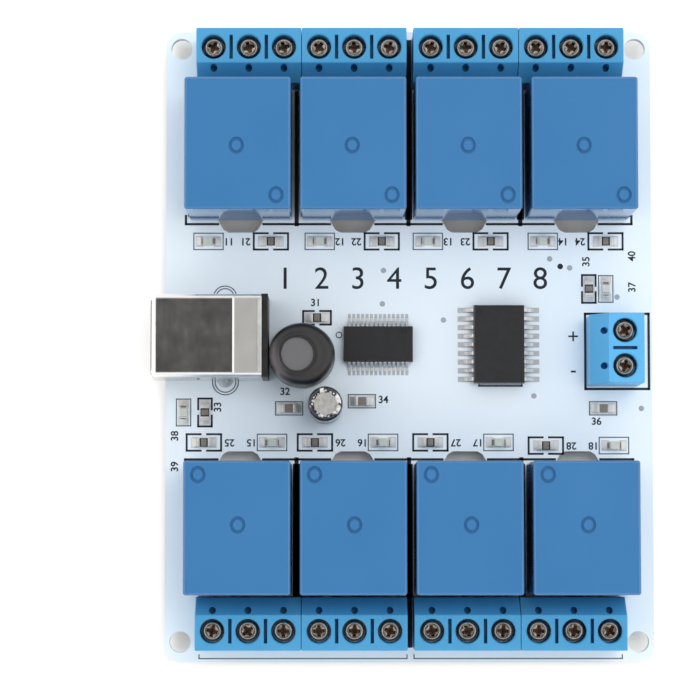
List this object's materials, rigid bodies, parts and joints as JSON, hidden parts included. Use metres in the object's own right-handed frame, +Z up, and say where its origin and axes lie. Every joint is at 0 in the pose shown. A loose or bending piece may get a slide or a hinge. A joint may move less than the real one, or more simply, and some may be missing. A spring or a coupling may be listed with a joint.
{
  "type": "relay module board",
  "caption": "Circuit board with rows of sealed relays, screw terminals along both ends, a square data socket, chips and corner mounting holes.",
  "frame": {"origin": "centre of the rectangle of mounting holes, on the underside of the board", "axes": "+Z up from the board's underside to the parts, +Y along the board's long side, +X from the data socket towards the two-way power terminal"},
  "size_m": [0.0731, 0.093, 0.019],
  "materials": {
    "board_laminate": "white solder mask with a cool tint, satin",
    "relay_case": "moulded blue case, glossy",
    "relay_base": "moulded black plate",
    "terminal_plastic": "moulded bright blue, semi gloss",
    "screw_steel": "plated steel",
    "tinned_brass": "tinned, bright",
    "shell_steel": "nickel plated sheet, brushed",
    "black_plastic": "moulded black",
    "gold_contact": "plated contact",
    "ferrite": "dark grey, matt",
    "copper_wire": "enamelled wire",
    "black_sleeve": "shrunk sleeve, satin",
    "can_aluminium": "drawn can",
    "bung_rubber": "moulded rubber",
    "chip_epoxy": "moulded epoxy, fine grain",
    "tin_plate": "tin plated leads",
    "resistor_black": "glazed film on ceramic",
    "lamp_white": "white base",
    "lamp_lens": "clear greenish lens",
    "ceramic_tan": "fired ceramic"
  },
  "bodies": {
    "root": {"circuit_board": "board_laminate", "relay_cover_1": "relay_case", "relay_base_1": "relay_base", "relay_cover_2": "relay_case", "relay_base_2": "relay_base", "relay_cover_3": "relay_case", "relay_base_3": "relay_base", "relay_cover_4": "relay_case", "relay_base_4": "relay_base", "relay_cover_5": "relay_case", "relay_base_5": "relay_base", "relay_cover_6": "relay_case", "relay_base_6": "relay_base", "relay_cover_7": "relay_case", "relay_base_7": "relay_base", "relay_cover_8": "relay_case", "relay_base_8": "relay_base", "relay_contact_pins": "tinned_brass", "relay_coil_pins": "tinned_brass", "terminal_housing_1": "terminal_plastic", "terminal_housing_2": "terminal_plastic", "terminal_housing_3": "terminal_plastic", "terminal_housing_4": "terminal_plastic", "terminal_housing_5": "terminal_plastic", "terminal_housing_6": "terminal_plastic", "terminal_housing_7": "terminal_plastic", "terminal_housing_8": "terminal_plastic", "power_terminal_housing": "terminal_plastic", "top_terminal_screws": "screw_steel", "top_terminal_clamps": "tinned_brass", "bottom_terminal_screws": "screw_steel", "bottom_terminal_clamps": "tinned_brass", "power_terminal_screws": "screw_steel", "power_terminal_clamps": "tinned_brass", "usb_shell": "shell_steel", "usb_insulator": "black_plastic", "usb_contacts": "gold_contact", "inductor_core": "ferrite", "inductor_winding": "copper_wire", "inductor_sleeve": "black_sleeve", "inductor_leads": "tinned_brass", "capacitor_can": "can_aluminium", "capacitor_bung": "bung_rubber", "capacitor_sleeve": "black_sleeve", "capacitor_leads": "tinned_brass", "interface_chip_body": "chip_epoxy", "interface_chip_leads": "tin_plate", "driver_chip_body": "chip_epoxy", "driver_chip_leads": "tin_plate", "resistor_bodies": "resistor_black", "resistor_end_caps": "tin_plate", "led_bases": "lamp_white", "led_lenses": "lamp_lens", "ceramic_capacitor_bodies": "ceramic_tan", "ceramic_capacitor_end_caps": "tin_plate"}
  },
  "joints": []
}
